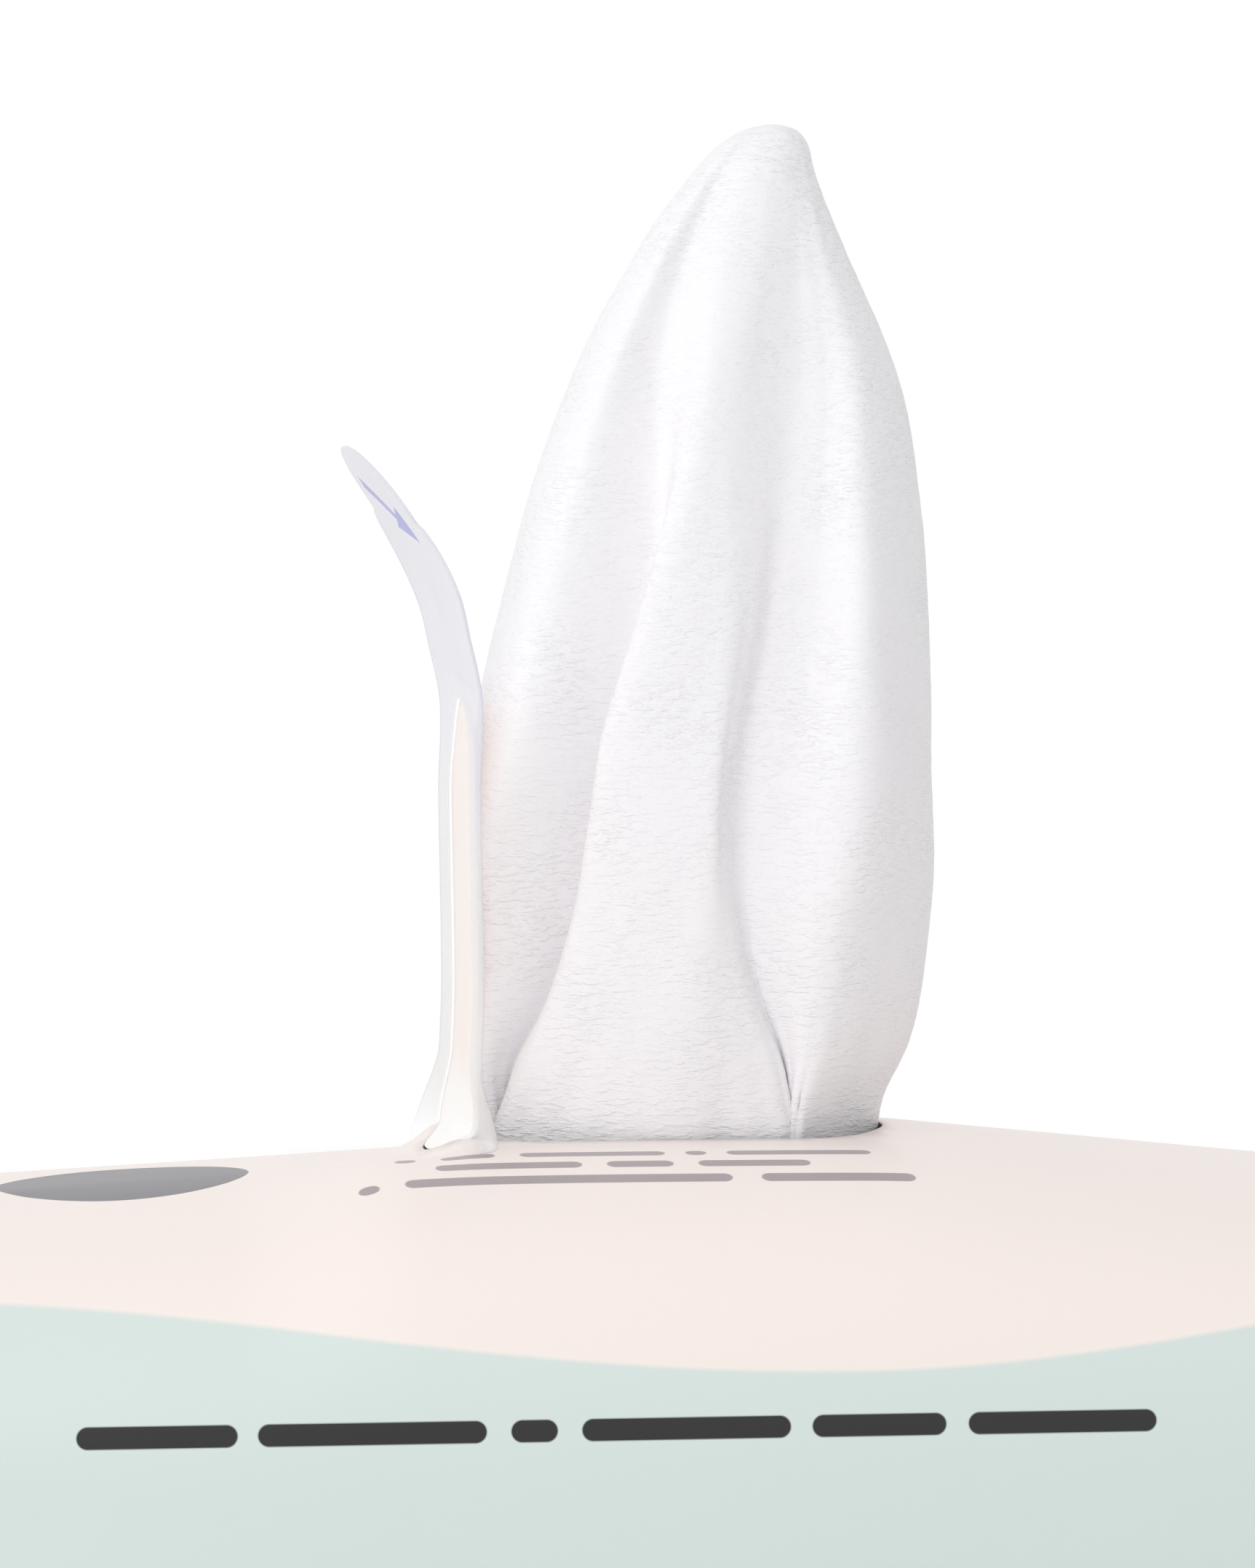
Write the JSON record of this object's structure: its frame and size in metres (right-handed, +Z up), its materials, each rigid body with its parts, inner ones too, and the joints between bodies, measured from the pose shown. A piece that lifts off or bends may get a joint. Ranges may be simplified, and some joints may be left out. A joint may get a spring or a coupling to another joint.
{
  "type": "wet wipes pack",
  "caption": "Open soft film pack of moist wipes, with crimped ends, a clear reseal label peeled up beside the opening and a folded wipe pulled up through it.",
  "frame": {"origin": "centre of the pack's underside", "axes": "+X along the pack, away from the label; +Y to the back long side; +Z up out of the opening"},
  "size_m": [0.228, 0.114, 0.1842],
  "materials": {
    "printed_film": "satin printed packaging film, cream on top and pale mint along the sides",
    "clear_film": "clear label film with a faint lavender tint",
    "panel_film": "satin cream film",
    "folded_cloth": "moist white nonwoven cloth, folded",
    "wipe_cloth": "moist white nonwoven cloth with fine creases"
  },
  "bodies": {
    "root": {"film_pouch": "printed_film", "reseal_label": "clear_film", "cut_out_panel": "panel_film", "wipe_stack": "folded_cloth", "next_wipe": "folded_cloth", "pulled_wipe": "wipe_cloth"}
  },
  "joints": []
}
